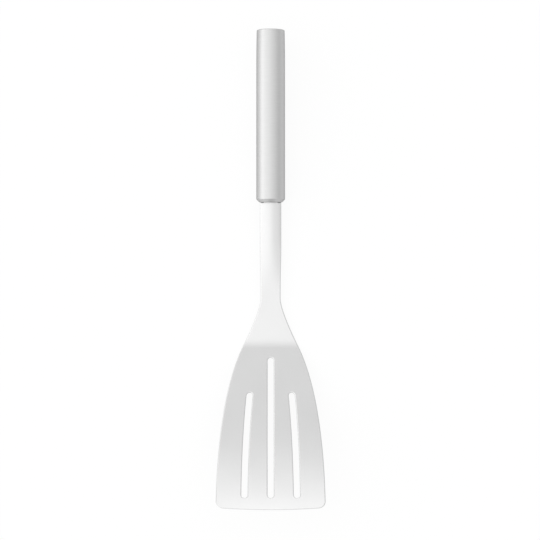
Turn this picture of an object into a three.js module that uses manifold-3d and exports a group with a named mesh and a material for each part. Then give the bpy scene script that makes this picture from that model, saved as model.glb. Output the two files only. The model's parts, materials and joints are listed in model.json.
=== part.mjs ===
// Kitchen turner. One pressed steel sheet makes the slotted blade, the neck, the arched shank and
// the tang, and a hollow steel handle holds the tang.
// Millimetres. In the turner's own frame Y runs along the handle from its nose (0) to its butt,
// X is across and +Z is the food side. The finished group lies on the plane Z = 0, as on a table.
import * as THREE from 'three';
import { mergeVertices } from 'three/addons/utils/BufferGeometryUtils.js';
import Module from 'manifold-3d';

const wasm = await Module();
wasm.setup();

const { clamp, degToRad, smoothstep } = THREE.MathUtils;

// Handle: a steel tube with a closed, bevelled nose and a disc let into its butt
const HANDLE_DIAMETER = 21.3;
const HANDLE_LENGTH = 127.5;
const TUBE_WALL = 1;
const NOSE_BEVEL = 2.2; // along the tube and across it
const NOSE_EASE = 0.6; // rounding at both edges of the bevel
const BUTT_DRAW = 0.28; // how far the tube is drawn in at the butt, on its radius
const BUTT_DRAW_LENGTH = 36;
const BUTT_RIM_RADIUS = 0.8;
const CAP_THICKNESS = 1.2;
const CAP_SKIRT_DEPTH = 6;
const CAP_SKIRT_WALL = 0.8;
const HANG_SLOT_WIDTH = 6;
const HANG_SLOT_LENGTH = 14;
const HANG_SLOT_MARGIN = 5; // from the cap's skirt to the hanging slot
const PLUG_LENGTH = 20;
const TANG_OVERHANG = 5; // how far the tang stands out behind the plug

// Sheet: thickness, and widths of the flat blank before it is pressed
const SHEET = 1.5;
const SHANK_WIDTH = 16.1;
const WAIST_WIDTH = 14.6;
const BEND_WIDTH = 39.4;
const BLADE_WIDTH = 77.8;

// Sheet: lengths along the blank
const NECK_LENGTH = 105; // from the nose to the middle of the bend
const BLADE_LENGTH = 129.2; // from the middle of the bend to the tip
const SHANK_TAPER_LENGTH = 50;
const FLARE_LENGTH = 33.7; // from the waist to the bend
const ARCH_FADE_LENGTH = 50; // over which the shank's arch flattens out towards the waist

// Sheet: edge curves. The flare is the side's slope at the bend; the eases are curve handles.
const FLARE = 0.49;
const WAIST_EASE = 4.2;
const FLARE_EASE = 18.9;
const SHOULDER_EASE = 19.5;
const SIDE_EASE = 63.8;
const CORNER_RADIUS = 5.5;
const TIP_RADIUS = 460;

// Sheet: how it is pressed
const ARCH_CROWN = 1.9; // height of the arch across the shank
const BEND_ANGLE = degToRad(24);
const BEND_RADIUS = 20;
const BLADE_FLAT = 50; // straight stretch after the bend
const TIP_CURL = degToRad(11);

// Drain slots
const DRAIN_SLOT_WIDTH = 4.5;
const DRAIN_SLOT_END = 9.4; // from the tip to the ends of all slots
const MIDDLE_SLOT_START = 10.7; // from the bend
const SIDE_SLOT_START = 38; // from the bend
const SIDE_SLOT_PLACE = 0.48; // between the blade's middle (0) and its side (1)

// Fit between pieces, and fineness of the facets
const CLEARANCE = 0.3;
const ROUND_FACETS = 48;
const PROFILE_FACETS = 3;
const CURVE_FACETS = 8;
const ARCH_FACETS = 8;
const CUT_OVERRUN = 1;

// Places along the blank, counted from the nose towards the tip
const TANG_LENGTH = TUBE_WALL + CLEARANCE + PLUG_LENGTH + TANG_OVERHANG;
const WAIST_AT = NECK_LENGTH - FLARE_LENGTH;
const TIP_AT = NECK_LENGTH + BLADE_LENGTH;
const BEND_AT = NECK_LENGTH - BEND_RADIUS * BEND_ANGLE / 2;
const FLAT_AT = NECK_LENGTH + BEND_RADIUS * BEND_ANGLE / 2;
const CURL_AT = FLAT_AT + BLADE_FLAT;
const CURL_RADIUS = (TIP_AT - CURL_AT) / TIP_CURL;

// Shared radii of the handle and of the shank's arch
const TUBE_RADIUS = HANDLE_DIAMETER / 2;
const BORE_RADIUS = TUBE_RADIUS - TUBE_WALL;
const EASE_LENGTH = NOSE_EASE * Math.tan(Math.PI / 8); // from the bevel's edge to its rounding's end
const NOSE_CENTRE = TUBE_RADIUS - NOSE_EASE;
const NOSE_SIDE_AT = NOSE_BEVEL + EASE_LENGTH;
const ARCH_RADIUS = ((SHANK_WIDTH / 2) ** 2 + ARCH_CROWN ** 2) / (2 * ARCH_CROWN);
const SHANK_LIFT = ARCH_CROWN / 2; // puts the middle of the arched section on the handle's axis

// Closed geometry to solid and back, for cuts

function toSolid(geometry) {
  const bare = geometry.clone();
  bare.deleteAttribute('normal');
  bare.deleteAttribute('uv');
  const merged = mergeVertices(bare, 1e-4);
  const triVerts = [];
  for (let i = 0; i < merged.index.count; i += 3) {
    const [a, b, c] = merged.index.array.slice(i, i + 3);
    if (a !== b && b !== c && c !== a) triVerts.push(a, b, c);
  }
  return new wasm.Manifold(new wasm.Mesh({
    numProp: 3,
    vertProperties: Float32Array.from(merged.attributes.position.array),
    triVerts: Uint32Array.from(triVerts),
  }));
}

function toGeometry(solid) {
  const mesh = solid.getMesh();
  const geometry = new THREE.BufferGeometry();
  geometry.setAttribute('position', new THREE.BufferAttribute(mesh.vertProperties, 3));
  geometry.setIndex(Array.from(mesh.triVerts));
  geometry.computeVertexNormals();
  return geometry;
}

function revolved(profile) {
  return new THREE.LatheGeometry(profile.getPoints(PROFILE_FACETS), ROUND_FACETS);
}

// Outline of the flat blank: half its width against the distance from the nose

function blankEdge() {
  const tipCentre = TIP_AT - TIP_RADIUS;
  const cornerX = BLADE_WIDTH / 2 - CORNER_RADIUS;
  const cornerAt = tipCentre + Math.sqrt((TIP_RADIUS - CORNER_RADIUS) ** 2 - cornerX ** 2);
  const cornerTurn = Math.atan2(cornerAt - tipCentre, cornerX);
  const taperMiddle = WAIST_AT - SHANK_TAPER_LENGTH / 2;

  const edge = new THREE.Path();
  edge.moveTo(SHANK_WIDTH / 2, -TANG_LENGTH);
  edge.lineTo(SHANK_WIDTH / 2, WAIST_AT - SHANK_TAPER_LENGTH);
  edge.bezierCurveTo(
    SHANK_WIDTH / 2, taperMiddle,
    WAIST_WIDTH / 2, taperMiddle,
    WAIST_WIDTH / 2, WAIST_AT,
  );
  edge.bezierCurveTo(
    WAIST_WIDTH / 2, WAIST_AT + WAIST_EASE,
    BEND_WIDTH / 2 - FLARE * FLARE_EASE, NECK_LENGTH - FLARE_EASE,
    BEND_WIDTH / 2, NECK_LENGTH,
  );
  edge.bezierCurveTo(
    BEND_WIDTH / 2 + FLARE * SHOULDER_EASE, NECK_LENGTH + SHOULDER_EASE,
    BLADE_WIDTH / 2, cornerAt - SIDE_EASE,
    BLADE_WIDTH / 2, cornerAt,
  );
  edge.absarc(cornerX, cornerAt, CORNER_RADIUS, 0, cornerTurn);
  edge.absarc(0, tipCentre, TIP_RADIUS, cornerTurn, Math.PI / 2);
  return edge;
}

const EDGE = blankEdge();

function halfWidth(along) {
  const last = EDGE.curves[EDGE.curves.length - 1];
  const curve = EDGE.curves.find((part) => along <= part.getPoint(1).y) ?? last;
  let low = 0;
  let high = 1;
  for (let halving = 0; halving < 50; halving++) {
    const middle = (low + high) / 2;
    if (curve.getPoint(middle).y < along) low = middle;
    else high = middle;
  }
  return curve.getPoint(high).x;
}

// Drain slots in the blank, from left to right. Their reach is half their width at a place.

function drainSlot(start, centre) {
  const radius = DRAIN_SLOT_WIDTH / 2;
  const end = TIP_AT - DRAIN_SLOT_END;
  const reach = (along) => {
    const intoEnd = Math.max(start + radius - along, along - end + radius, 0);
    return Math.sqrt(Math.max(radius ** 2 - intoEnd ** 2, 0));
  };
  const rows = [];
  for (let i = 0; i <= CURVE_FACETS; i++) {
    const inset = radius * (1 - Math.cos(i / CURVE_FACETS * Math.PI / 2));
    rows.push(start + inset, end - inset);
  }
  return { start, end, centre, reach, rows };
}

const SLOTS = [-SIDE_SLOT_PLACE, 0, SIDE_SLOT_PLACE].map((place) => {
  const start = NECK_LENGTH + (place ? SIDE_SLOT_START : MIDDLE_SLOT_START);
  return drainSlot(start, (along) => place * halfWidth(along));
});

// Rows of points across the blank. Fixed rows carry a corner or a round end; the loose ones
// follow the curves, wherever they don't crowd another row.

function curveRows(curve, divisions) {
  return curve.getPoints(divisions).map((point) => point.y);
}

function evenRows(from, to, count) {
  return Array.from({ length: count + 1 }, (_, i) => from + (to - from) * i / count);
}

function blankRows() {
  const arcs = EDGE.curves.filter((curve) => curve.isEllipseCurve);
  const others = EDGE.curves.filter((curve) => !curve.isEllipseCurve);
  const rows = [-TANG_LENGTH, BEND_AT, FLAT_AT, CURL_AT, TIP_AT];
  rows.push(...SLOTS[0].rows, ...SLOTS[1].rows);
  rows.push(...arcs.flatMap((arc) => curveRows(arc, CURVE_FACETS)));
  const loose = [
    ...others.flatMap((curve) => curveRows(curve, curve.isLineCurve ? 1 : 2 * CURVE_FACETS)),
    ...evenRows(WAIST_AT - ARCH_FADE_LENGTH, WAIST_AT, CURVE_FACETS),
    ...evenRows(BEND_AT, FLAT_AT, CURVE_FACETS),
    ...evenRows(CURL_AT, TIP_AT, CURVE_FACETS),
  ];
  const room = BEND_RADIUS * BEND_ANGLE / CURVE_FACETS / 2;
  for (const row of loose) {
    if (rows.every((other) => Math.abs(other - row) > room)) rows.push(row);
  }
  return [...new Set(rows.map(rounded))].sort((a, b) => a - b);
}

function rounded(value) {
  return Math.round(value * 1e5) / 1e5;
}

// The press: where a point of the flat blank ends up

function sideLine(along) {
  const bent = clamp(along - BEND_AT, 0, FLAT_AT - BEND_AT) / BEND_RADIUS;
  const flat = clamp(along - FLAT_AT, 0, BLADE_FLAT);
  const curled = Math.max(along - CURL_AT, 0) / CURL_RADIUS;
  const slope = bent + curled;
  const run = Math.min(along, BEND_AT) + BEND_RADIUS * Math.sin(bent) + flat * Math.cos(bent)
    + CURL_RADIUS * (Math.sin(slope) - Math.sin(bent));
  const rise = BEND_RADIUS * (1 - Math.cos(bent)) + flat * Math.sin(bent)
    + CURL_RADIUS * (Math.cos(bent) - Math.cos(slope));
  return { run, rise, slope };
}

function pressed(across, along, height) {
  const { run, rise, slope } = sideLine(along);
  const arch = (1 - smoothstep(along, WAIST_AT - ARCH_FADE_LENGTH, WAIST_AT)) / ARCH_RADIUS;
  const turn = across * arch;
  const x = (arch > 0 ? Math.sin(turn) / arch : across) + height * Math.sin(turn);
  const drop = arch > 0 ? (1 - Math.cos(turn)) / arch : 0;
  const lift = height * Math.cos(turn) - drop;
  return [x, -run + lift * Math.sin(slope), SHANK_LIFT + rise + lift * Math.cos(slope)];
}

// Blade, neck, shank and tang as one sheet

function metalSpans(along, inside) {
  const half = halfWidth(along);
  const ends = [-half];
  for (const slot of SLOTS) {
    if (inside < slot.start || inside > slot.end) continue;
    ends.push(slot.centre(along) - slot.reach(along), slot.centre(along) + slot.reach(along));
  }
  ends.push(half);
  const spans = [];
  for (let i = 0; i < ends.length; i += 2) spans.push([rounded(ends[i]), rounded(ends[i + 1])]);
  return spans;
}

function sheetGeometry() {
  const rows = blankRows();
  const strips = rows.slice(1).map((row, i) => (row + rows[i]) / 2);
  const positions = [];
  const faces = [];

  // Each row's points, every one a pair: food side first, underside next
  const pairs = rows.map((along, i) => {
    const ends = strips.slice(Math.max(i - 1, 0), i + 1).flatMap((inside) => metalSpans(along, inside));
    const across = new Set(ends.flat());
    if (along < WAIST_AT) {
      for (const share of evenRows(-1, 1, ARCH_FACETS)) across.add(rounded(share * halfWidth(along)));
    }
    return [...across].sort((a, b) => a - b).map((x) => {
      const pair = positions.length / 6;
      positions.push(...pressed(x, along, SHEET / 2), ...pressed(x, along, -SHEET / 2));
      return { x, top: 2 * pair, under: 2 * pair + 1 };
    });
  });

  const chain = (i, [from, to]) => pairs[i].filter(({ x }) => x >= from && x <= to);

  const face = (a, b, c) => {
    faces.push(a.top, b.top, c.top, c.under, b.under, a.under);
  };

  const wall = (a, b) => {
    faces.push(b.top, a.top, a.under, b.top, a.under, b.under);
  };

  // The skin between two neighbouring chains, taking the nearer of the next two points each time
  const stitch = (upper, lower) => {
    const share = (list, k) => (list[k].x - list[0].x) / (list[list.length - 1].x - list[0].x);
    let i = 0;
    let k = 0;
    while (i + 1 < upper.length || k + 1 < lower.length) {
      const lowerNext = i + 1 === upper.length
        || (k + 1 < lower.length && share(lower, k + 1) <= share(upper, i + 1));
      if (lowerNext) {
        face(upper[i], lower[k], lower[k + 1]);
        k += 1;
      } else {
        face(upper[i], lower[k], upper[i + 1]);
        i += 1;
      }
    }
    wall(upper[0], lower[0]);
    wall(lower[lower.length - 1], upper[upper.length - 1]);
  };

  strips.forEach((inside, i) => {
    const upper = metalSpans(rows[i], inside);
    const lower = metalSpans(rows[i + 1], inside);
    upper.forEach((span, k) => stitch(chain(i, span), chain(i + 1, lower[k])));
  });
  const tangEnd = pairs[0];
  for (let i = 1; i < tangEnd.length; i++) wall(tangEnd[i], tangEnd[i - 1]);

  const geometry = new THREE.BufferGeometry();
  geometry.setAttribute('position', new THREE.Float32BufferAttribute(positions, 3));
  geometry.setIndex(faces);
  geometry.computeVertexNormals();
  return geometry;
}

// A bar of the shank's arched section, a clearance larger all round, for the slots it goes through

function shankCutter(length) {
  const halfTurn = (SHANK_WIDTH / 2 + CLEARANCE) / ARCH_RADIUS;
  const reach = SHEET / 2 + CLEARANCE;
  const centre = SHANK_LIFT - ARCH_RADIUS;
  const up = Math.PI / 2;
  const section = new THREE.Shape();
  section.absarc(0, centre, ARCH_RADIUS + reach, up - halfTurn, up + halfTurn, false);
  section.absarc(0, centre, ARCH_RADIUS - reach, up + halfTurn, up - halfTurn, true);
  section.closePath();
  const depth = length + 2 * CUT_OVERRUN;
  const bar = new THREE.ExtrudeGeometry(section, { depth, bevelEnabled: false, curveSegments: CURVE_FACETS });
  bar.rotateX(Math.PI / 2);
  bar.translate(0, length + CUT_OVERRUN, 0);
  return toSolid(bar);
}

// Size of the nose's bevel at a depth inside the tube's outer surface

function bevelInside(depth) {
  return NOSE_BEVEL - (2 - Math.SQRT2) * depth;
}

// Handle tube: wall, nose and butt in one profile, then the shank's slot and the hanging slot

function hangSlotCutter() {
  const radius = HANG_SLOT_WIDTH / 2;
  const top = HANDLE_LENGTH - CAP_SKIRT_DEPTH - HANG_SLOT_MARGIN - radius;
  const bottom = top - HANG_SLOT_LENGTH + HANG_SLOT_WIDTH;
  const outline = new THREE.Shape();
  outline.absarc(0, top, radius, 0, Math.PI, false);
  outline.absarc(0, bottom, radius, Math.PI, 2 * Math.PI, false);
  outline.closePath();
  const depth = TUBE_RADIUS + CUT_OVERRUN;
  const bar = new THREE.ExtrudeGeometry(outline, { depth, bevelEnabled: false, curveSegments: CURVE_FACETS });
  bar.translate(0, 0, -depth);
  return toSolid(bar);
}

function tubeGeometry() {
  const drawAt = HANDLE_LENGTH - BUTT_DRAW_LENGTH;
  const drawMiddle = HANDLE_LENGTH - BUTT_DRAW_LENGTH / 2;
  const rimAt = HANDLE_LENGTH - BUTT_RIM_RADIUS;
  const rimCentre = TUBE_RADIUS - BUTT_DRAW - BUTT_RIM_RADIUS;
  const endCentre = TUBE_RADIUS - NOSE_BEVEL - EASE_LENGTH;
  const bevel = bevelInside(TUBE_WALL);
  const profile = new THREE.Path();
  profile.moveTo(0, 0);
  profile.lineTo(endCentre, 0);
  profile.absarc(endCentre, NOSE_EASE, NOSE_EASE, -Math.PI / 2, -Math.PI / 4, false);
  profile.absarc(NOSE_CENTRE, NOSE_SIDE_AT, NOSE_EASE, -Math.PI / 4, 0, false);
  profile.lineTo(TUBE_RADIUS, drawAt);
  profile.quadraticCurveTo(TUBE_RADIUS, drawMiddle, TUBE_RADIUS - BUTT_DRAW, rimAt);
  profile.absarc(rimCentre, rimAt, BUTT_RIM_RADIUS, 0, Math.PI / 2, false);
  profile.lineTo(BORE_RADIUS - BUTT_DRAW, HANDLE_LENGTH);
  profile.quadraticCurveTo(BORE_RADIUS, drawMiddle, BORE_RADIUS, drawAt);
  profile.lineTo(BORE_RADIUS, TUBE_WALL + bevel);
  profile.lineTo(BORE_RADIUS - bevel, TUBE_WALL);
  profile.lineTo(0, TUBE_WALL);
  const shankSlot = shankCutter(TUBE_WALL + NOSE_BEVEL);
  return toGeometry(toSolid(revolved(profile)).subtract(shankSlot).subtract(hangSlotCutter()));
}

// Plug that fills the nose behind its wall and carries the tang

function plugGeometry() {
  const radius = BORE_RADIUS - CLEARANCE;
  const front = TUBE_WALL + CLEARANCE;
  const bevel = bevelInside(front);
  const profile = new THREE.Path();
  profile.moveTo(0, front);
  profile.lineTo(radius - bevel, front);
  profile.lineTo(radius, front + bevel);
  profile.lineTo(radius, front + PLUG_LENGTH);
  profile.lineTo(0, front + PLUG_LENGTH);
  return toGeometry(toSolid(revolved(profile)).subtract(shankCutter(front + PLUG_LENGTH)));
}

// Cup-shaped disc let into the butt, flush with the tube's rim

function capGeometry() {
  const radius = BORE_RADIUS - BUTT_DRAW - CLEARANCE;
  const inner = radius - CAP_SKIRT_WALL;
  const under = HANDLE_LENGTH - CAP_THICKNESS;
  const mouth = HANDLE_LENGTH - CAP_SKIRT_DEPTH;
  const profile = new THREE.Path();
  profile.moveTo(0, under);
  profile.lineTo(inner, under);
  profile.lineTo(inner, mouth);
  profile.lineTo(radius, mouth);
  profile.lineTo(radius, HANDLE_LENGTH);
  profile.lineTo(0, HANDLE_LENGTH);
  return toGeometry(toSolid(revolved(profile)));
}

// Pieces

function piece(name, geometry, color, roughness, metalness) {
  const mesh = new THREE.Mesh(geometry, new THREE.MeshStandardMaterial({ color, roughness, metalness }));
  mesh.name = name;
  return mesh;
}

const turner = new THREE.Group();
turner.add(
  piece('blade_and_shank', sheetGeometry(), 0xdedede, 0.2, 1),
  piece('handle_tube', tubeGeometry(), 0xcfcfcf, 0.35, 1),
  piece('butt_cap', capGeometry(), 0xcfcfcf, 0.35, 1),
  piece('tang_plug', plugGeometry(), 0x3a3a3a, 0.6, 0),
);

// It lies on the nose of the handle and on the outside of the bend: the plane that touches both arcs

const apart = BEND_AT + NOSE_SIDE_AT;
const above = SHANK_LIFT + BEND_RADIUS + NOSE_CENTRE;
const radiusDifference = BEND_RADIUS + SHEET / 2 - NOSE_EASE;
turner.rotation.x = Math.atan2(above, apart) - Math.asin(radiusDifference / Math.hypot(above, apart));

const part = new THREE.Group();
part.add(turner);
const box = new THREE.Box3().setFromObject(part, true);
const middle = box.getCenter(new THREE.Vector3());
turner.position.set(-middle.x, -middle.y, -box.min.z);

export default part;
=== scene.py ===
"""Kitchen turner: a slotted, pressed steel blade on an arched shank, in a hollow brushed-steel handle.

The pieces are modelled in the handle's own frame, in metres: Y runs along the handle from its nose (0)
to its butt, X is across and +Z is the food side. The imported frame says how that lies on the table.
"""

import json
import math

import bmesh
import bpy
import numpy as np
from bpy.props import FloatProperty, FloatVectorProperty, IntProperty, PointerProperty
from mathutils import Matrix, Vector
from mathutils.geometry import delaunay_2d_cdt, interpolate_bezier
from mathutils.kdtree import KDTree


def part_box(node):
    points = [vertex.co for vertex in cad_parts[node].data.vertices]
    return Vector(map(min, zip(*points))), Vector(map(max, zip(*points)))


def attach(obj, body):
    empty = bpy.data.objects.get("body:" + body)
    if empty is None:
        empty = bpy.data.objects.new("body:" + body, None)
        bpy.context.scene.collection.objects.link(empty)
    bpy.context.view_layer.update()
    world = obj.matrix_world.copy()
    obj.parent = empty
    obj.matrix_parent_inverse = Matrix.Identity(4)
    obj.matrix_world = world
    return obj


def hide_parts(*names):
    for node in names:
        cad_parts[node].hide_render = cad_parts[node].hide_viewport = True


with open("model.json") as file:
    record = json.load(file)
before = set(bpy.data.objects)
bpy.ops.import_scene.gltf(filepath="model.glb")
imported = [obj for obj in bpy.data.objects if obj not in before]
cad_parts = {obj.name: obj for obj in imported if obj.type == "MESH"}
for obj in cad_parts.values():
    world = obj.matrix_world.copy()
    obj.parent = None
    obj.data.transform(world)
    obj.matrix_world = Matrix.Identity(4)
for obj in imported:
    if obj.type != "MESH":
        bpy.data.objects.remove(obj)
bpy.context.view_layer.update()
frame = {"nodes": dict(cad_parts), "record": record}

bl_info = {
    "name": "Kitchen Turner",
    "version": (1, 0, 0),
    "blender": (4, 5, 0),
    "location": "View3D > Sidebar > Turner",
    "description": "Builds a slotted steel kitchen turner and its studio",
    "category": "Object",
}

BODY = "root"


# Units and colours


def mm(value):
    return value / 1000


def linear(hex_colour):
    """An sRGB hex colour as linear RGB."""
    channels = [int(hex_colour[i:i + 2], 16) / 255 for i in (1, 3, 5)]
    return [c / 12.92 if c <= 0.04045 else ((c + 0.055) / 1.055) ** 2.4 for c in channels]


def length(name, description, millimetres):
    return FloatProperty(
        name=name, description=description, default=mm(millimetres), min=0, precision=5, unit="LENGTH",
    )


def angle(name, description, degrees):
    return FloatProperty(name=name, description=description, default=math.radians(degrees), subtype="ANGLE")


def colour(name, description, hex_colour):
    return FloatVectorProperty(
        name=name, description=description, default=linear(hex_colour), size=3, min=0, max=1, subtype="COLOR",
    )


# Settings


class HandleSettings(bpy.types.PropertyGroup):
    diameter: length("Diameter", "Outside of the tube", 21.3)
    length: length("Length", "From the nose to the butt", 127.5)
    wall: length("Wall", "Thickness of the tube's steel", 1)
    nose_bevel: length("Nose bevel", "Along the tube and across it", 2.2)
    nose_ease: length("Nose ease", "Rounding at both edges of the bevel", 0.6)
    butt_draw: length("Butt draw", "How far the tube is drawn in at the butt, on its radius", 0.28)
    butt_draw_length: length("Butt draw length", "Over which the tube is drawn in", 36)
    rim_radius: length("Rim radius", "Rounding of the rim at the butt", 0.8)
    disc_thickness: length("Disc thickness", "Of the disc let into the butt", 1.2)
    disc_skirt: length("Disc skirt", "Depth of the disc's skirt inside the tube", 6)
    disc_wall: length("Disc wall", "Thickness of the disc's skirt", 0.8)
    hang_width: length("Hanging slot width", "Across the slot in the back", 6)
    hang_length: length("Hanging slot length", "Along the slot in the back", 14)
    hang_margin: length("Hanging slot margin", "From the disc's skirt to the slot", 5)
    seam: length("Seam", "Gap that shows as a fine line between two fitted pieces", 0.08)
    tack_place: length("Tack place", "Of each weld tack, from the middle of the shank", 6.3)
    tack_radius: length("Tack radius", "At the foot of a weld tack, away from the corner it fills", 0.8)
    tack_length: length("Tack length", "Of a weld tack, across the shank", 2.6)
    tack_height: length("Tack height", "Of a weld tack, out of the corner it fills", 0.55)
    facets: IntProperty(name="Facets", description="Round the tube", default=144, min=24)


class SheetSettings(bpy.types.PropertyGroup):
    thickness: length("Thickness", "Of the steel sheet", 1.5)
    edge_radius: length("Edge radius", "Rounding of every cut edge", 0.74)
    tang_length: length("Tang length", "Of the shank inside the handle", 26.3)
    shank_width: length("Shank width", "Of the flat blank at the handle", 16.1)
    waist_width: length("Waist width", "Of the flat blank where it is narrowest", 14.6)
    bend_width: length("Bend width", "Of the flat blank at the bend", 39.4)
    blade_width: length("Blade width", "Of the flat blank at its widest", 77.8)
    neck_length: length("Neck length", "From the handle's nose to the middle of the bend", 105)
    blade_length: length("Blade length", "From the middle of the bend to the tip", 129.2)
    taper_length: length("Taper length", "Over which the shank narrows to the waist", 50)
    flare_length: length("Flare length", "From the waist to the bend", 33.7)
    arch_fade: length("Arch fade", "Over which the shank's arch flattens out", 50)
    flare: FloatProperty(name="Flare", description="Slope of the sides at the bend", default=0.49)
    waist_ease: length("Waist ease", "Curve handle at the waist", 4.2)
    flare_ease: length("Flare ease", "Curve handle above the bend", 18.9)
    shoulder_ease: length("Shoulder ease", "Curve handle below the bend", 19.5)
    side_ease: length("Side ease", "Curve handle at the blade's corner", 63.8)
    corner_radius: length("Corner radius", "Of the blade's two corners", 5.5)
    tip_radius: length("Tip radius", "Of the bowed leading edge", 460)
    tip_thickness: length("Tip thickness", "Of the leading edge, which is ground thin from below", 0.7)
    grind_length: length("Grind length", "Over which the leading edge is ground thin", 6)
    arch_crown: length("Arch crown", "Height of the arch across the shank", 1.9)
    bend_angle: angle("Bend angle", "Between the neck and the blade", 24)
    bend_radius: length("Bend radius", "At the middle of the sheet", 20)
    blade_flat: length("Blade flat", "Straight stretch after the bend", 50)
    tip_curl: angle("Tip curl", "How far the blade curls up to its tip", 11)
    slot_width: length("Slot width", "Of each drain slot", 4.5)
    slot_end: length("Slot end", "From the tip to the end of every slot", 9.4)
    middle_slot_start: length("Middle slot start", "From the bend", 10.7)
    side_slot_start: length("Side slot start", "From the bend", 38)
    side_slot_place: FloatProperty(
        name="Side slot place", description="Between the blade's middle (0) and its side (1)", default=0.48,
    )
    mesh_step: length("Mesh step", "Between points along edges and across faces", 1.5)
    edge_steps: IntProperty(name="Edge steps", description="Round a quarter of an edge", default=5, min=1)


class FinishSettings(bpy.types.PropertyGroup):
    sheet_light: colour("Sheet steel, light", "Where the polish is finest", "#dadada")
    sheet_dark: colour("Sheet steel, dark", "Where the polish is coarser", "#d4d4d4")
    tube_light: colour("Tube steel, light", "Along the crests of the brushing", "#d4d4d4")
    tube_dark: colour("Tube steel, dark", "Along the scratches of the brushing", "#c3c3c3")
    # The weld tack's two colours are far darker than the tube's: partly the weld's own dull tone, partly
    # painted shade of the corner between the nose and the shank
    tack_light: colour("Weld tack, light", "Where the weld stayed bright", "#a2a2a2")
    tack_dark: colour("Weld tack, dark", "Where the heat dulled the weld", "#767676")
    plug_light: colour("Plug, light", "Top of the moulding's fine grain", "#3e3e3e")
    plug_dark: colour("Plug, dark", "Hollows of the moulding's fine grain", "#343434")


class StudioSettings(bpy.types.PropertyGroup):
    floor: colour("Floor", "Pale matt floor", "#f2f2f2")
    floor_size: length("Floor size", "Side of the square floor", 60000)
    tent: FloatProperty(name="Tent", description="Light from all of the tent's cloth", default=0.8)
    camera_height: length("Camera height", "Above the handle's axis", 1300)
    camera_along: length("Camera along", "From the nose towards the tip", 50.1)
    camera_aside: length("Camera aside", "To the left of the handle's axis", 0.5)
    lens: FloatProperty(name="Lens", description="Focal length", default=117, unit="CAMERA")


class TurnerSettings(bpy.types.PropertyGroup):
    handle: PointerProperty(type=HandleSettings)
    sheet: PointerProperty(type=SheetSettings)
    finish: PointerProperty(type=FinishSettings)
    studio: PointerProperty(type=StudioSettings)


# Placing and making pieces


def handle_frame(handle):
    """Matrix from the handle's own frame to the table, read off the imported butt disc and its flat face."""
    butt_face = next(mount for mount in frame["record"]["mounts"] if mount["name"] == "butt_face")
    along = Vector(butt_face["axis"]).normalized()
    across = Vector((1, 0, 0))
    low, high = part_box("butt_cap")
    nose = (low + high) / 2 - along * (handle.length - handle.disc_skirt / 2)
    turn = Matrix((across, along, across.cross(along))).transposed()
    return Matrix.Translation(nose) @ turn.to_4x4()


def ring_faces(first, size, count):
    """Faces that join closed rings of points, each to the next, with the points numbered from first."""
    faces = []
    for ring in range(count - 1):
        start = first + ring * size
        for i in range(size):
            k = (i + 1) % size
            faces.append((start + i, start + k, start + size + k, start + size + i))
    return faces


def make_piece(name, mesh, node, material, place):
    """A mesh from the handle's frame as a piece of the turner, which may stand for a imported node."""
    mesh.transform(place)
    mesh.materials.append(material)
    piece = bpy.data.objects.new(name, mesh)
    bpy.context.scene.collection.objects.link(piece)
    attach(piece, BODY)
    if node:
        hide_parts(node)
    return piece


# Blade, neck, shank and tang: one flat blank, pressed to shape


def smoothstep(value, low, high):
    share = np.clip((value - low) / (high - low), 0, 1)
    return share * share * (3 - 2 * share)


def arc(centre, radius, start, end, step):
    count = max(2, math.ceil(radius * abs(end - start) / step)) + 1
    return [
        Vector((centre[0] + radius * math.cos(turn), centre[1] + radius * math.sin(turn)))
        for turn in np.linspace(start, end, count)
    ]


def arch_radius(sheet):
    """Radius of the shank's arch, at the middle of the sheet."""
    return ((sheet.shank_width / 2) ** 2 + sheet.arch_crown ** 2) / (2 * sheet.arch_crown)


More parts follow.
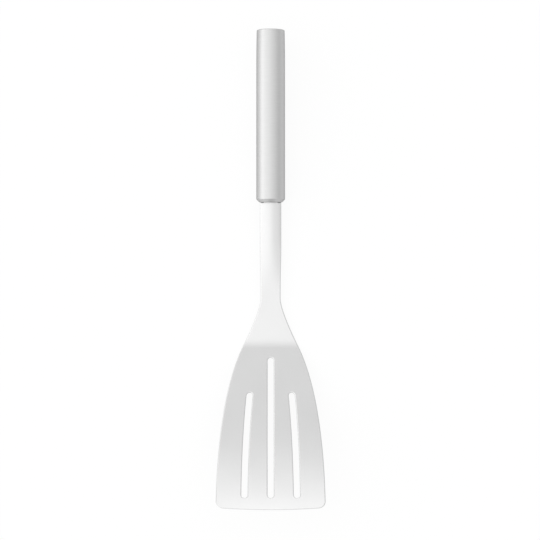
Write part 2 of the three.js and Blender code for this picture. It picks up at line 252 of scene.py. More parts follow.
class PressedSheet:
    """The flat blank and the press.

    A point of the blank is (across, along, height). Along counts from the handle's nose towards the
    tip, and height from the middle of the sheet towards the food side.
    """

    def __init__(self, sheet):
        half_bend = sheet.bend_radius * sheet.bend_angle / 2
        self.sheet = sheet
        self.tip_at = sheet.neck_length + sheet.blade_length
        self.tip_centre = self.tip_at - sheet.tip_radius
        self.waist_at = sheet.neck_length - sheet.flare_length
        self.bend_at = sheet.neck_length - half_bend
        self.flat_at = sheet.neck_length + half_bend
        self.curl_at = self.flat_at + sheet.blade_flat
        self.curl_radius = (self.tip_at - self.curl_at) / sheet.tip_curl
        self.arch_radius = arch_radius(sheet)
        self.edge = self.right_edge()

    def right_edge(self):
        """The right edge of the blank as (across, along), from the tang to the middle of the tip."""
        sheet = self.sheet
        shank, waist = sheet.shank_width / 2, sheet.waist_width / 2
        bend, blade = sheet.bend_width / 2, sheet.blade_width / 2
        taper_at = self.waist_at - sheet.taper_length
        taper_middle = self.waist_at - sheet.taper_length / 2
        straight = taper_at + sheet.tang_length
        corner_x = blade - sheet.corner_radius
        corner_from_centre = math.sqrt((sheet.tip_radius - sheet.corner_radius) ** 2 - corner_x ** 2)
        corner_at = self.tip_centre + corner_from_centre
        corner_turn = math.atan2(corner_from_centre, corner_x)
        step = sheet.mesh_step

        curves = (
            (
                (shank, -sheet.tang_length),
                (shank, -sheet.tang_length + straight / 3),
                (shank, taper_at - straight / 3),
                (shank, taper_at),
            ),
            ((shank, taper_at), (shank, taper_middle), (waist, taper_middle), (waist, self.waist_at)),
            (
                (waist, self.waist_at),
                (waist, self.waist_at + sheet.waist_ease),
                (bend - sheet.flare * sheet.flare_ease, sheet.neck_length - sheet.flare_ease),
                (bend, sheet.neck_length),
            ),
            (
                (bend, sheet.neck_length),
                (bend + sheet.flare * sheet.shoulder_ease, sheet.neck_length + sheet.shoulder_ease),
                (blade, corner_at - sheet.side_ease),
                (blade, corner_at),
            ),
        )
        points = []
        for curve in curves:
            corners = [Vector(point) for point in curve]
            count = math.ceil((corners[3] - corners[0]).length / step) + 1
            points += interpolate_bezier(*corners, count)[:-1]
        points += arc((corner_x, corner_at), sheet.corner_radius, 0, corner_turn, step / 2)[:-1]
        points += arc((0, self.tip_centre), sheet.tip_radius, corner_turn, math.pi / 2, step)
        return np.array([point.to_2d() for point in points])

    def half_width(self, along):
        return np.interp(along, self.edge[:, 1], self.edge[:, 0])

    def slot_loop(self, start, place):
        """A drain slot's edge: up its left side and down its right one."""
        radius = self.sheet.slot_width / 2
        end = self.tip_at - self.sheet.slot_end
        round_points = 9
        round_end = radius * (1 - np.cos(np.linspace(0, math.pi / 2, round_points)))
        straight = np.linspace(start + radius, end - radius, math.ceil((end - start) / self.sheet.mesh_step))
        along = np.concatenate((start + round_end[:-1], straight, end - round_end[-2::-1]))
        into_end = np.maximum(np.maximum(start + radius - along, along - end + radius), 0)
        reach = np.sqrt(np.maximum(radius ** 2 - into_end ** 2, 0))
        centre = place * self.half_width(along)
        left = np.stack((centre - reach, along), axis=1)
        right = np.stack((centre + reach, along), axis=1)
        return np.concatenate((left, right[-2:0:-1]))

    def loops(self):
        """The outline and the slots, each with the metal on its left."""
        sheet = self.sheet
        left_edge = self.edge[-2::-1] * (-1, 1)
        middle_start = sheet.neck_length + sheet.middle_slot_start
        side_start = sheet.neck_length + sheet.side_slot_start
        return [
            np.concatenate((self.edge, left_edge)),
            self.slot_loop(middle_start, 0),
            self.slot_loop(side_start, sheet.side_slot_place),
            self.slot_loop(side_start, -sheet.side_slot_place),
        ]

    def ground_share(self, across, along):
        """Share of the sheet's thickness that is left where the leading edge is ground thin from below."""
        from_tip = self.sheet.tip_radius - np.hypot(across, along - self.tip_centre)
        tip_share = self.sheet.tip_thickness / self.sheet.thickness
        return tip_share + (1 - tip_share) * smoothstep(from_tip, 0, self.sheet.grind_length)

    def press(self, blank):
        """Where points of the blank end up in the handle's frame."""
        across, along, height = np.asarray(blank).T
        sheet = self.sheet
        top = sheet.thickness / 2
        height = top - (top - height) * self.ground_share(across, along)
        bent = np.clip(along - self.bend_at, 0, self.flat_at - self.bend_at) / sheet.bend_radius
        flat = np.clip(along - self.flat_at, 0, sheet.blade_flat)
        slope = bent + np.maximum(along - self.curl_at, 0) / self.curl_radius
        run = np.minimum(along, self.bend_at) + sheet.bend_radius * np.sin(bent) + flat * np.cos(bent)
        run += self.curl_radius * (np.sin(slope) - np.sin(bent))
        rise = sheet.bend_radius * (1 - np.cos(bent)) + flat * np.sin(bent)
        rise += self.curl_radius * (np.cos(bent) - np.cos(slope))
        arch = 1 - smoothstep(along, self.waist_at - sheet.arch_fade, self.waist_at)
        turn = across * arch / self.arch_radius
        x = across * np.sinc(turn / math.pi) + height * np.sin(turn)
        drop = across * np.sin(turn / 2) * np.sinc(turn / 2 / math.pi)
        lift = height * np.cos(turn) - drop
        y = -run + lift * np.sin(slope)
        z = sheet.arch_crown / 2 + rise + lift * np.cos(slope)
        return np.stack((x, y, z), axis=1)

    def press_normals(self, blank, normals):
        """The blank's surface normals after pressing."""
        nudge = mm(0.01)
        across, along, height = (
            (self.press(blank + step) - self.press(blank - step)) / (2 * nudge) for step in np.eye(3) * nudge
        )
        pressed = normals[:, :1] * np.cross(height, along)
        pressed += normals[:, 1:2] * np.cross(across, height)
        pressed += normals[:, 2:] * np.cross(along, across)
        return pressed / np.linalg.norm(pressed, axis=1, keepdims=True)


def inward_normals(loop):
    """Unit normals of a closed loop, towards the metal on its left."""
    ahead = np.roll(loop, -1, axis=0) - loop
    ahead /= np.linalg.norm(ahead, axis=1, keepdims=True)
    along = ahead + np.roll(ahead, 1, axis=0)
    along /= np.linalg.norm(along, axis=1, keepdims=True)
    return np.stack((-along[:, 1], along[:, 0]), axis=1)


def inside_loops(points, loops):
    """Which points have an odd number of loop edges to their right."""
    crossings = np.zeros(len(points), int)
    for loop in loops:
        for (x0, y0), (x1, y1) in zip(loop, np.roll(loop, -1, axis=0)):
            spans = (points[:, 1] < y0) != (points[:, 1] < y1)
            if y0 != y1:
                crossings += spans & (points[:, 0] < x0 + (points[:, 1] - y0) * (x1 - x0) / (y1 - y0))
    return crossings % 2 == 1


def face_points(loops, step):
    """A grid of points inside the loops, with half a step of room to every edge."""
    edges = np.concatenate(loops)
    tree = KDTree(len(edges))
    for i, (x, y) in enumerate(edges):
        tree.insert((x, y, 0), i)
    tree.balance()
    low, high = edges.min(axis=0), edges.max(axis=0)
    columns = np.arange(-math.ceil(high[0] / step), math.ceil(high[0] / step) + 1) * step
    rows = np.arange(low[1] + step, high[1], step)
    grid = np.array([(x, y) for y in rows for x in columns])
    grid = grid[inside_loops(grid, loops)]
    return np.array([point for point in grid if tree.find((*point, 0))[2] > step / 2])


def fill_rings(rings, grid):
    """Triangles of the metal between the rings, as numbers of the rings' points and then the grid's."""
    flat = np.concatenate((*rings, grid))
    edges = []
    start = 0
    for ring in rings:
        edges += [(start + i, start + (i + 1) % len(ring)) for i in range(len(ring))]
        start += len(ring)
    only_inside = 1
    closeness = mm(0.000001)
    points, _, triangles, origins, _, _ = delaunay_2d_cdt(
        [Vector(point) for point in flat], edges, [], only_inside, closeness,
    )
    if len(points) != len(flat):
        raise RuntimeError("the blank's edges cross each other")
    middles = np.array([sum((points[i] for i in face), Vector((0, 0))) / 3 for face in triangles])
    metal = inside_loops(middles, rings)
    return [[origins[i][0] for i in face] for face, kept in zip(triangles, metal) if kept]


def sheet_mesh(sheet):
    """The pressed sheet with rounded edges and its flat layout as UVs, and its normals."""
    shape = PressedSheet(sheet)
    radius = sheet.edge_radius
    half = sheet.thickness / 2
    quarter = np.linspace(0, math.pi / 2, sheet.edge_steps + 1)
    turns = [(turn, half - radius) for turn in quarter]
    turns += [(turn + math.pi / 2, radius - half) for turn in quarter]

    # A rounded rim along every cut edge, from the food side to the back
    blank, normals, faces, rims, rings = [], [], [], [], []
    count = 0
    for loop in shape.loops():
        inward = inward_normals(loop)
        share = shape.ground_share(*loop.T)[:, None]
        size = len(loop)
        for turn, centre in turns:
            places = loop + inward * share * radius * (1 - math.sin(turn))
            height = np.full((size, 1), centre + radius * math.cos(turn))
            blank.append(np.hstack((places, height)))
            normals.append(np.hstack((-inward * math.sin(turn), share * math.cos(turn))))
        faces += ring_faces(count, size, len(turns))
        rims.append((count, count + (len(turns) - 1) * size, size))
        rings.append(loop + inward * share * radius)
        count += len(turns) * size

    # The two faces inside the rounded rims share one flat triangulation
    grid = face_points(rings, sheet.mesh_step)
    metal = fill_rings(rings, grid)
    for side, rim in ((1, 0), (-1, 1)):
        index = []
        for *starts, size in rims:
            index += range(starts[rim], starts[rim] + size)
        index += range(count, count + len(grid))
        blank.append(np.hstack((grid, np.full((len(grid), 1), side * half))))
        normals.append(np.tile((0, 0, side), (len(grid), 1)))
        count += len(grid)
        faces += [[index[i] for i in face][::-side] for face in metal]

    blank, normals = np.concatenate(blank), np.concatenate(normals).astype(float)
    mesh = bpy.data.meshes.new("blade_and_shank_sheet")
    mesh.from_pydata(shape.press(blank).tolist(), [], faces)
    layout = mesh.uv_layers.new(name="blank")
    corners = np.zeros(len(mesh.loops), int)
    mesh.loops.foreach_get("vertex_index", corners)
    layout.uv.foreach_set("vector", blank[corners, :2].astype(np.float32).ravel())
    mesh.polygons.foreach_set("use_smooth", [True] * len(mesh.polygons))
    return mesh, shape.press_normals(blank, normals)


# Handle tube, butt disc and weld tacks: spun profiles


def spin_profile(name, points, facets):
    """A mesh spun round the handle's axis from a profile of (radius, along) with both ends on the axis."""
    (_, start), *wall, (_, end) = points
    turns = np.linspace(0, 2 * math.pi, facets, endpoint=False)
    verts = [(0, start, 0)]
    for radius, along in wall:
        verts += [(radius * math.cos(turn), along, -radius * math.sin(turn)) for turn in turns]
    last = len(verts) - facets
    verts.append((0, end, 0))
    faces = ring_faces(1, facets, len(wall))
    for i in range(facets):
        k = (i + 1) % facets
        faces += [(0, 1 + k, 1 + i), (last + i, last + k, last + facets)]
    mesh = bpy.data.meshes.new(name)
    mesh.from_pydata(verts, [], faces)
    return mesh


def bar_mesh(name, outline, start, end):
    """A straight bar: a closed outline of points, swept from start to end, the way its normal points."""
    size = len(outline)
    verts = [Vector(place) + Vector(point) for place in (start, end) for point in outline]
    faces = ring_faces(0, size, 2)
    faces += [range(size)[::-1], range(size, 2 * size)]
    mesh = bpy.data.meshes.new(name)
    mesh.from_pydata(verts, [], faces)
    return mesh


def cut_mesh(mesh, cutters):
    """The mesh with each cutter mesh taken out of it."""
    body = bpy.data.objects.new("cut_body", mesh)
    tools = [bpy.data.objects.new("cutter", cutter) for cutter in cutters]
    for item in (body, *tools):
        bpy.context.scene.collection.objects.link(item)
    for tool in tools:
        cut = body.modifiers.new("cut", "BOOLEAN")
        cut.operation = "DIFFERENCE"
        cut.solver = "EXACT"
        cut.object = tool
    bpy.context.view_layer.update()
    result = bpy.data.meshes.new_from_object(body.evaluated_get(bpy.context.evaluated_depsgraph_get()))
    for item in (body, *tools):
        bpy.data.objects.remove(item)
    if not result.polygons:
        raise RuntimeError("nothing is left of the handle after its cuts")

    # The cuts leave some points that lie on each other, and faces with many corners
    closeness = mm(0.01)
    work = bmesh.new()
    work.from_mesh(result)
    bmesh.ops.remove_doubles(work, verts=work.verts, dist=closeness)
    bmesh.ops.dissolve_degenerate(work, dist=closeness, edges=work.edges)
    bmesh.ops.triangulate(work, faces=[face for face in work.faces if len(face.verts) > 4])
    work.to_mesh(result)
    work.free()
    return result


def smooth_rounds(piece):
    """Smooth shading that keeps sharp corners, and keeps the large faces true."""
    sharpest_round = math.radians(35)
    piece.data.polygons.foreach_set("use_smooth", [True] * len(piece.data.polygons))
    piece.data.set_sharp_from_angle(angle=sharpest_round)
    weighted = piece.modifiers.new("true_faces", "WEIGHTED_NORMAL")
    weighted.keep_sharp = True


def tube_profile(handle):
    """The tube's wall as (radius, along): out from the axis over the nose and back along the bore."""
    outer = handle.diameter / 2
    bore = outer - handle.wall
    ease = handle.nose_ease
    ease_length = ease * math.tan(math.pi / 8)
    end_centre = (outer - handle.nose_bevel - ease_length, ease)
    side_centre = (outer - ease, handle.nose_bevel + ease_length)
    bevel_inside = handle.nose_bevel - (2 - math.sqrt(2)) * handle.wall
    draw_at = handle.length - handle.butt_draw_length
    rim_at = handle.length - handle.rim_radius
    rim = outer - handle.butt_draw - handle.rim_radius
    quarter = math.pi / 2
    step = mm(0.2)
    draw_points = 13

    def drawn(radius, end):
        middle = (radius, (draw_at + end) / 2)
        corners = [(radius, draw_at), middle, middle, (radius - handle.butt_draw, end)]
        return interpolate_bezier(*(Vector(point) for point in corners), draw_points)

    points = [(0, 0)]
    points += arc(end_centre, ease, -quarter, -quarter / 2, step)
    points += arc(side_centre, ease, -quarter / 2, 0, step)
    points += drawn(outer, rim_at)
    points += arc((rim, rim_at), handle.rim_radius, 0, quarter, step)[1:]
    points += drawn(bore, handle.length)[::-1]
    points += [(bore, handle.wall + bevel_inside), (bore - bevel_inside, handle.wall), (0, handle.wall)]
    return [(point[0], point[1]) for point in points]


def shank_section(sheet, room):
    """The arched section of the shank, a little larger all round, as points across the handle."""
    radius = arch_radius(sheet)
    half_turn = (sheet.shank_width / 2 + room) / radius
    reach = sheet.thickness / 2 + room
    centre = sheet.arch_crown / 2 - radius
    up = math.pi / 2
    step = mm(0.5)
    over = arc((0, centre), radius + reach, up - half_turn, up + half_turn, step)
    under = arc((0, centre), radius - reach, up + half_turn, up - half_turn, step)
    return [(x, 0, z) for x, z in over + under]


def hang_section(handle):
    """The long hole in the back that the turner hangs on, as points along the handle."""
    radius = handle.hang_width / 2
    far = handle.length - handle.disc_skirt - handle.hang_margin - radius
    near = far - handle.hang_length + handle.hang_width
    step = mm(0.4)
    outline = arc((0, far), radius, 0, math.pi, step) + arc((0, near), radius, math.pi, 2 * math.pi, step)
    return [(x, y, 0) for x, y in outline]


def tube_mesh(handle, sheet):
    """The hollow handle, with the shank's hole through its nose and the hanging slot in its back."""
    overrun = mm(1)
    inside = handle.wall + handle.nose_bevel
    shank_hole = bar_mesh("shank_hole", shank_section(sheet, handle.seam), (0, inside, 0), (0, -overrun, 0))
    hang_hole = bar_mesh("hang_hole", hang_section(handle), (0, 0, -handle.diameter), (0, 0, 0))
    return cut_mesh(spin_profile("handle_tube", tube_profile(handle), handle.facets), (shank_hole, hang_hole))


def disc_profile(handle):
    """The cup-shaped disc that closes the butt, with a softly broken edge."""
    radius = handle.diameter / 2 - handle.wall - handle.butt_draw - handle.seam
    inner = radius - handle.disc_wall
    under = handle.length - handle.disc_thickness
    mouth = handle.length - handle.disc_skirt
    broken = mm(0.2)
    points = [(0, under), (inner, under), (inner, mouth), (radius, mouth)]
    points += arc((radius - broken, handle.length - broken), broken, 0, math.pi / 2, broken / 3)
    points.append((0, handle.length))
    return [(point[0], point[1]) for point in points]


def tack_profile(handle):
    """A weld tack's dome as (radius, along), with the rings its pool set in, and its root in the steel."""
    dome_points = 33
    ring_depth = 0.03
    rings_all_round = 14
    points = []
    for turn in np.linspace(0, math.pi / 2, dome_points):
        ring = 1 + ring_depth * math.cos(rings_all_round * turn)
        radius = handle.tack_radius * ring * math.sin(turn)
        height = handle.tack_height * ring * math.cos(turn)
        points.append((radius, -height))
    points.append((0, handle.tack_height))
    return points


def tack_mesh(name, handle, sheet, side):
    """A weld tack in the corner between the nose and the arched shank, on its left (-1) or right (1)."""
    outside = arch_radius(sheet) + sheet.thickness / 2
    lean = math.asin(handle.tack_place / outside)
    top = sheet.arch_crown / 2 - arch_radius(sheet) + outside * math.cos(lean)
    half_corner = math.pi / 4
    stretch = handle.tack_length / handle.tack_radius / 2
    mesh = spin_profile(name, tack_profile(handle), handle.facets // 3)
    mesh.transform(
        Matrix.Translation((side * handle.tack_place, 0, top))
        @ Matrix.Rotation(side * lean, 4, "Y")
        @ Matrix.Rotation(-half_corner, 4, "X")
        @ Matrix.Diagonal((stretch, 1, 1, 1))
    )
    return mesh


# Materials


def add_node(tree, kind, inputs=(), **settings):
    """Add a node. Inputs are (socket, value or other node's output); settings are the node's own."""
    node = tree.nodes.new(kind)
    for name, value in settings.items():
        setattr(node, name, value)
    for socket, value in inputs:
        if isinstance(value, bpy.types.NodeSocket):
            tree.links.new(value, node.inputs[socket])
        else:
            node.inputs[socket].default_value = value
    return node


def empty_material(name):
    material = bpy.data.materials.new(name)
    material.use_nodes = True
    material.node_tree.nodes.clear()
    return material, material.node_tree


def per_metre(*millimetres):
    """Pattern scale along each axis, from the size of one mark in millimetres."""
    return tuple(1 / mm(size) for size in millimetres)


def satin_stainless_sheet(finish):
    # Stainless 18/10 sheet, pressed and then satin polished along its length. The eye sees soft, even
    # reflections, hardly any grain, and a polish that is never quite the same from place to place. Seen
    # at a slant the polish scatters more, so the sheet never turns into a mirror there.
    material, tree = empty_material("satin_polished_stainless_sheet")
    layout = add_node(tree, "ShaderNodeUVMap", uv_map="blank")
    # The real grain is some 0.05 mm wide. It is drawn 0.5 mm wide, so that it shows at all.
    grain_place = add_node(
        tree, "ShaderNodeMapping", [("Vector", layout.outputs["UV"]), ("Scale", per_metre(0.5, 24, 1))],
    )
    grain = add_node(tree, "ShaderNodeTexNoise", [
        ("Vector", grain_place.outputs["Vector"]), ("Scale", 1), ("Detail", 3), ("Roughness", 0.6),
    ])
    # Polishing leaves broad patches, about 25 mm across
    patch_place = add_node(
        tree, "ShaderNodeMapping", [("Vector", layout.outputs["UV"]), ("Scale", per_metre(25, 25, 1))],
    )
    patches = add_node(tree, "ShaderNodeTexNoise", [
        ("Vector", patch_place.outputs["Vector"]), ("Scale", 1), ("Detail", 2), ("Roughness", 0.5),
    ])
    shade = add_node(tree, "ShaderNodeMix", [
        ("Factor", patches.outputs["Fac"]),
        ("A", (*finish.sheet_dark, 1)),
        ("B", (*finish.sheet_light, 1)),
    ], data_type="RGBA")
    roughness = add_node(tree, "ShaderNodeMapRange", [
        ("Value", grain.outputs["Fac"]), ("To Min", 0.2), ("To Max", 0.26),
    ])
    bump = add_node(tree, "ShaderNodeBump", [
        ("Strength", 0.03), ("Distance", mm(0.02)), ("Height", grain.outputs["Fac"]),
    ])
    steel = add_node(tree, "ShaderNodeBsdfPrincipled", [
        ("Base Color", shade.outputs["Result"]),
        ("Metallic", 1),
        ("Roughness", roughness.outputs["Result"]),
        ("Specular Tint", (0.6, 0.6, 0.6, 1)),
        ("Normal", bump.outputs["Normal"]),
    ])
    add_node(tree, "ShaderNodeOutputMaterial", [("Surface", steel.outputs["BSDF"])])
    return material


def brushed_stainless_tube(finish, place):
    # Stainless tube, brushed matt while it turned, so fine scratches run round it. They blur every
    # reflection, most of all along the handle, and leave soft light and dark stripes from end to end. They
    # also take light away where the tube turns from the eye, so its sides look darker.
    material, tree = empty_material("brushed_stainless_tube")
    nose, axis = place.translation, place.col[1].to_3d()
    spot = add_node(tree, "ShaderNodeTexCoord")
    from_nose = add_node(tree, "ShaderNodeVectorMath", [
        (0, spot.outputs["Object"]), (1, nose),
    ], operation="SUBTRACT")
    round_tube = add_node(tree, "ShaderNodeVectorMath", [
        (0, axis), (1, from_nose.outputs["Vector"]),
    ], operation="CROSS_PRODUCT")
    # The real scratches are some 0.03 mm wide. They are drawn 0.5 mm wide, so that they show at all. This
    # kind of mapping takes a mark's own size.
    scratch_place = add_node(tree, "ShaderNodeMapping", [
        ("Vector", from_nose.outputs["Vector"]),
        ("Rotation", (place.to_euler().x, 0, 0)),
        ("Scale", (mm(9), mm(0.5), mm(9))),
    ], vector_type="TEXTURE")
    scratches = add_node(tree, "ShaderNodeTexNoise", [
        ("Vector", scratch_place.outputs["Vector"]), ("Scale", 1), ("Detail", 4), ("Roughness", 0.65),
    ])
    shade = add_node(tree, "ShaderNodeMix", [
        ("Factor", scratches.outputs["Fac"]),
        ("A", (*finish.tube_dark, 1)),
        ("B", (*finish.tube_light, 1)),
    ], data_type="RGBA")
    roughness = add_node(tree, "ShaderNodeMapRange", [
        ("Value", scratches.outputs["Fac"]), ("To Min", 0.4), ("To Max", 0.5),
    ])
    bump = add_node(tree, "ShaderNodeBump", [
        ("Strength", 0.1), ("Distance", mm(0.02)), ("Height", scratches.outputs["Fac"]),
    ])
    steel = add_node(tree, "ShaderNodeBsdfPrincipled", [
        ("Base Color", shade.outputs["Result"]),
        ("Metallic", 1),
        ("Roughness", roughness.outputs["Result"]),
        ("Specular Tint", (0.5, 0.5, 0.5, 1)),
        ("Anisotropic", 0.2),
        ("Anisotropic Rotation", 0.25),
        ("Tangent", round_tube.outputs["Vector"]),
        ("Normal", bump.outputs["Normal"]),
    ])
    add_node(tree, "ShaderNodeOutputMaterial", [("Surface", steel.outputs["BSDF"])])
    return material


def weld_with_painted_shade(finish):
    # Stainless weld, left as it set, blotched at random and with a weak and blurred shine. Its colour is far
    # darker than the tube's, partly its own dull tone and partly painted shade of the corner between the nose
    # and the shank, so it shows as a small dark spot beside the brushed tube.
    material, tree = empty_material("stainless_weld_with_painted_shade")
    spot = add_node(tree, "ShaderNodeTexCoord")
    blotch_place = add_node(
        tree, "ShaderNodeMapping", [("Vector", spot.outputs["Object"]), ("Scale", per_metre(0.6, 0.6, 0.6))],
    )
    blotches = add_node(tree, "ShaderNodeTexNoise", [
        ("Vector", blotch_place.outputs["Vector"]), ("Scale", 1), ("Detail", 3), ("Roughness", 0.6),
    ])
    # Painted shade: the tack's colour is kept dark so that the corner by the shank reads dark
    shade = add_node(tree, "ShaderNodeMix", [
        ("Factor", blotches.outputs["Fac"]),
        ("A", (*finish.tack_dark, 1)),
        ("B", (*finish.tack_light, 1)),
    ], data_type="RGBA")
    roughness = add_node(tree, "ShaderNodeMapRange", [
        ("Value", blotches.outputs["Fac"]), ("To Min", 0.55), ("To Max", 0.4),
    ])
    steel = add_node(tree, "ShaderNodeBsdfPrincipled", [
        ("Base Color", shade.outputs["Result"]),
        ("Metallic", 1),
        ("Roughness", roughness.outputs["Result"]),
    ])
    add_node(tree, "ShaderNodeOutputMaterial", [("Surface", steel.outputs["BSDF"])])
    return material


def moulded_polyamide(finish):
    # Black polyamide, injection moulded: dull, with the faint grain of the eroded mould.
    material, tree = empty_material("moulded_black_polyamide")
    spot = add_node(tree, "ShaderNodeTexCoord")
    grain_place = add_node(
        tree, "ShaderNodeMapping", [("Vector", spot.outputs["Object"]), ("Scale", per_metre(0.6, 0.6, 0.6))],
    )
    grain = add_node(tree, "ShaderNodeTexNoise", [
        ("Vector", grain_place.outputs["Vector"]), ("Scale", 1), ("Detail", 2),
    ])
    shade = add_node(tree, "ShaderNodeMix", [
        ("Factor", grain.outputs["Fac"]),
        ("A", (*finish.plug_dark, 1)),
        ("B", (*finish.plug_light, 1)),
    ], data_type="RGBA")
    roughness = add_node(tree, "ShaderNodeMapRange", [
        ("Value", grain.outputs["Fac"]), ("To Min", 0.5), ("To Max", 0.65),
    ])
    bump = add_node(tree, "ShaderNodeBump", [
        ("Strength", 0.2), ("Distance", mm(0.05)), ("Height", grain.outputs["Fac"]),
    ])
    plastic = add_node(tree, "ShaderNodeBsdfPrincipled", [
        ("Base Color", shade.outputs["Result"]),
        ("Roughness", roughness.outputs["Result"]),
        ("IOR", 1.53),
        ("Normal", bump.outputs["Normal"]),
    ])
    add_node(tree, "ShaderNodeOutputMaterial", [("Surface", plastic.outputs["BSDF"])])
    return material


def pale_floor(studio):
    # Matt white board. Most of what the camera and the steel see of it is its own even white, so that
    # only a breath of the turner's shadow is left on it.
    own_white = 0.9
    material, tree = empty_material("matt_white_board")
    path = add_node(tree, "ShaderNodeLightPath")
    seen = add_node(tree, "ShaderNodeMath", [
        (0, path.outputs["Is Camera Ray"]), (1, path.outputs["Is Glossy Ray"]),
    ], operation="MAXIMUM")
    seen = add_node(tree, "ShaderNodeMath", [
        (0, seen.outputs["Value"]), (1, path.outputs["Is Transmission Ray"]),
    ], operation="MAXIMUM")
    share = add_node(tree, "ShaderNodeMath", [
        (0, seen.outputs["Value"]), (1, own_white),
    ], operation="MULTIPLY")
    matt = add_node(tree, "ShaderNodeBsdfDiffuse", [("Color", (*studio.floor, 1))])
    white = add_node(tree, "ShaderNodeEmission", [("Color", (1, 1, 1, 1)), ("Strength", 1)])
    both = add_node(tree, "ShaderNodeMixShader", [
        (0, share.outputs["Value"]), (1, matt.outputs["BSDF"]), (2, white.outputs["Emission"]),
    ])
    add_node(tree, "ShaderNodeOutputMaterial", [("Surface", both.outputs["Shader"])])
    return material


# Studio


# Soft panels of the light tent: angle to the right and angle towards the butt of the camera's line of
# sight, length along the handle against the width, angle over which the panel fades out, and its light
PANELS = (
    (0, 0, 1, 70, 0.21),
    (0, -15, 1, 60, 0.19),
    (-20, 0, 2.9, 40, 0.28),
    (-60, 0, 2.9, 50, 0.59),
    (-80, 0, 2.9, 40, 0.6),
    (35, 0, 2.9, 20, 0.09),
    (0, 75, 1, 32, 0.98),
)


def light_tent(studio, place):
    """White cloth all round that glows evenly, with the soft panels on it, turned with the handle."""
    world = bpy.data.worlds.new("light_tent")
    world.use_nodes = True
    tree = world.node_tree
    tree.nodes.clear()
    ray = add_node(tree, "ShaderNodeTexCoord")
    by_handle = add_node(tree, "ShaderNodeMapping", [
        ("Vector", ray.outputs["Generated"]), ("Rotation", place.to_euler()),
    ], vector_type="TEXTURE")
    total = studio.tent
    for right, up, stretch, fade, strength in PANELS:
        right, up, fade = (math.radians(value) for value in (right, up, fade))
        squash = Vector((1, 1 / stretch, 1))
        aim = Vector((math.sin(right) * math.cos(up), math.sin(up), math.cos(right) * math.cos(up)))
        squashed = add_node(tree, "ShaderNodeVectorMath", [
            (0, by_handle.outputs["Vector"]), (1, squash),
        ], operation="MULTIPLY")
        unit = add_node(
            tree, "ShaderNodeVectorMath", [(0, squashed.outputs["Vector"])], operation="NORMALIZE",
        )
        facing = add_node(tree, "ShaderNodeVectorMath", [
            (0, unit.outputs["Vector"]), (1, (aim * squash).normalized()),
        ], operation="DOT_PRODUCT")
        off = add_node(tree, "ShaderNodeMath", [(0, facing.outputs["Value"])], operation="ARCCOSINE")
        panel = add_node(tree, "ShaderNodeMapRange", [
            ("Value", off.outputs["Value"]),
            ("From Min", fade), ("From Max", 0), ("To Min", 0), ("To Max", strength),
        ], interpolation_type="SMOOTHSTEP")
        total = add_node(tree, "ShaderNodeMath", [
            (0, panel.outputs["Result"]), (1, total),
        ], operation="ADD").outputs["Value"]
    cloth = add_node(tree, "ShaderNodeBackground", [("Color", (1, 1, 1, 1)), ("Strength", total)])
    add_node(tree, "ShaderNodeOutputWorld", [("Surface", cloth.outputs["Background"])])
    return world


# Operators


class TURNER_OT_press_blade(bpy.types.Operator):
    """Press the slotted blade, neck, shank and tang from one sheet"""
    bl_idname = "turner.press_blade"
    bl_label = "Press Blade"

    def execute(self, context):
        turner = context.scene.turner
        place = handle_frame(turner.handle)
        mesh, normals = sheet_mesh(turner.sheet)
        steel = satin_stainless_sheet(turner.finish)
        piece = make_piece("slotted_blade", mesh, "blade_and_shank", steel, place)
        turned = normals @ np.array(place.to_3x3()).T
        piece.data.normals_split_custom_set_from_vertices(turned.tolist())
        return {"FINISHED"}


class TURNER_OT_spin_handle(bpy.types.Operator):
    """Spin the hollow handle and let the disc into its butt"""
    bl_idname = "turner.spin_handle"
    bl_label = "Spin Handle"

    def execute(self, context):
        turner = context.scene.turner
        place = handle_frame(turner.handle)
        steel = brushed_stainless_tube(turner.finish, place)
        disc = spin_profile("butt_disc", disc_profile(turner.handle), turner.handle.facets)
        for name, mesh, node in (
            ("handle_shell", tube_mesh(turner.handle, turner.sheet), "handle_tube"),
            ("butt_disc", disc, "butt_cap"),
        ):
            smooth_rounds(make_piece(name, mesh, node, steel, place))
        return {"FINISHED"}


class TURNER_OT_tack_shank(bpy.types.Operator):
    """Tack the shank to the handle's nose with two small welds"""
    bl_idname = "turner.tack_shank"
    bl_label = "Tack Shank"

    def execute(self, context):
        turner = context.scene.turner
        place = handle_frame(turner.handle)
        weld = weld_with_painted_shade(turner.finish)
        for name, side in (("left_weld_tack", -1), ("right_weld_tack", 1)):
            mesh = tack_mesh(name, turner.handle, turner.sheet, side)
            smooth_rounds(make_piece(name, mesh, None, weld, place))
        return {"FINISHED"}


class TURNER_OT_finish_plug(bpy.types.Operator):
    """Give the plug inside the handle its moulded plastic"""
    bl_idname = "turner.finish_plug"
    bl_label = "Finish Plug"

    def execute(self, context):
        plug = frame["nodes"]["tang_plug"]
        plug.data.materials.clear()
        plug.data.materials.append(moulded_polyamide(context.scene.turner.finish))
        return {"FINISHED"}


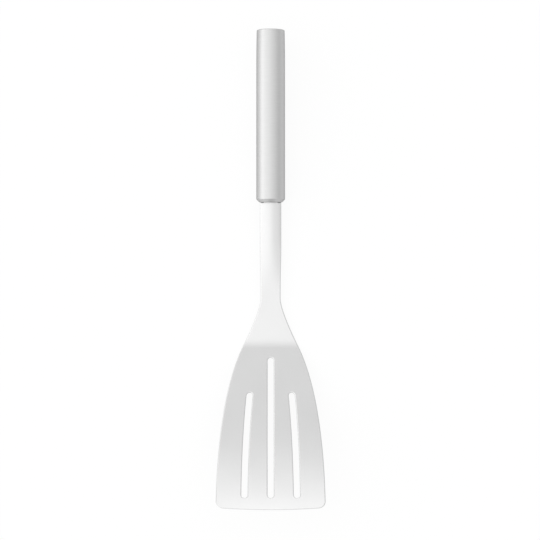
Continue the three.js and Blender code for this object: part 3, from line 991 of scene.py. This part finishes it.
class TURNER_OT_set_stage(bpy.types.Operator):
    """Lay the floor, hang the light tent and set up the camera"""
    bl_idname = "turner.set_stage"
    bl_label = "Set Stage"

    def execute(self, context):
        turner = context.scene.turner
        studio = turner.studio
        place = handle_frame(turner.handle)

        half = studio.floor_size / 2
        mesh = bpy.data.meshes.new("floor")
        corners = [(-half, -half, 0), (half, -half, 0), (half, half, 0), (-half, half, 0)]
        mesh.from_pydata(corners, [], [(0, 1, 2, 3)])
        mesh.materials.append(pale_floor(studio))
        floor = bpy.data.objects.new("floor", mesh)
        context.scene.collection.objects.link(floor)

        context.scene.world = light_tent(studio, place)
        context.scene.view_settings.view_transform = "Standard"

        camera = bpy.data.cameras.new("camera")
        camera.lens = studio.lens
        camera.clip_end = studio.floor_size
        stand = bpy.data.objects.new("camera", camera)
        context.scene.collection.objects.link(stand)
        seat = Matrix.Translation((-studio.camera_aside, -studio.camera_along, studio.camera_height))
        stand.matrix_world = place @ seat
        context.scene.camera = stand
        return {"FINISHED"}


class TURNER_PT_sidebar(bpy.types.Panel):
    """Sizes and finishes of the turner, and the steps that build it"""
    bl_idname = "TURNER_PT_sidebar"
    bl_label = "Kitchen Turner"
    bl_space_type = "VIEW_3D"
    bl_region_type = "UI"
    bl_category = "Turner"

    def draw(self, context):
        turner = context.scene.turner
        for group in (turner.sheet, turner.handle, turner.finish, turner.studio):
            box = self.layout.box()
            for name in group.bl_rna.properties.keys():
                if name not in ("rna_type", "name"):
                    box.prop(group, name)
        for step in STEPS:
            self.layout.operator(step.bl_idname)


STEPS = (
    TURNER_OT_press_blade,
    TURNER_OT_spin_handle,
    TURNER_OT_tack_shank,
    TURNER_OT_finish_plug,
    TURNER_OT_set_stage,
)
CLASSES = (
    HandleSettings, SheetSettings, FinishSettings, StudioSettings, TurnerSettings, *STEPS, TURNER_PT_sidebar,
)


def register():
    for item in CLASSES:
        bpy.utils.register_class(item)
    bpy.types.Scene.turner = PointerProperty(type=TurnerSettings)


def unregister():
    del bpy.types.Scene.turner
    for item in reversed(CLASSES):
        bpy.utils.unregister_class(item)


def main():
    register()
    bpy.ops.turner.press_blade()
    bpy.ops.turner.spin_handle()
    bpy.ops.turner.tack_shank()
    bpy.ops.turner.finish_plug()
    bpy.ops.turner.set_stage()


if __name__ == "__main__":
    main()
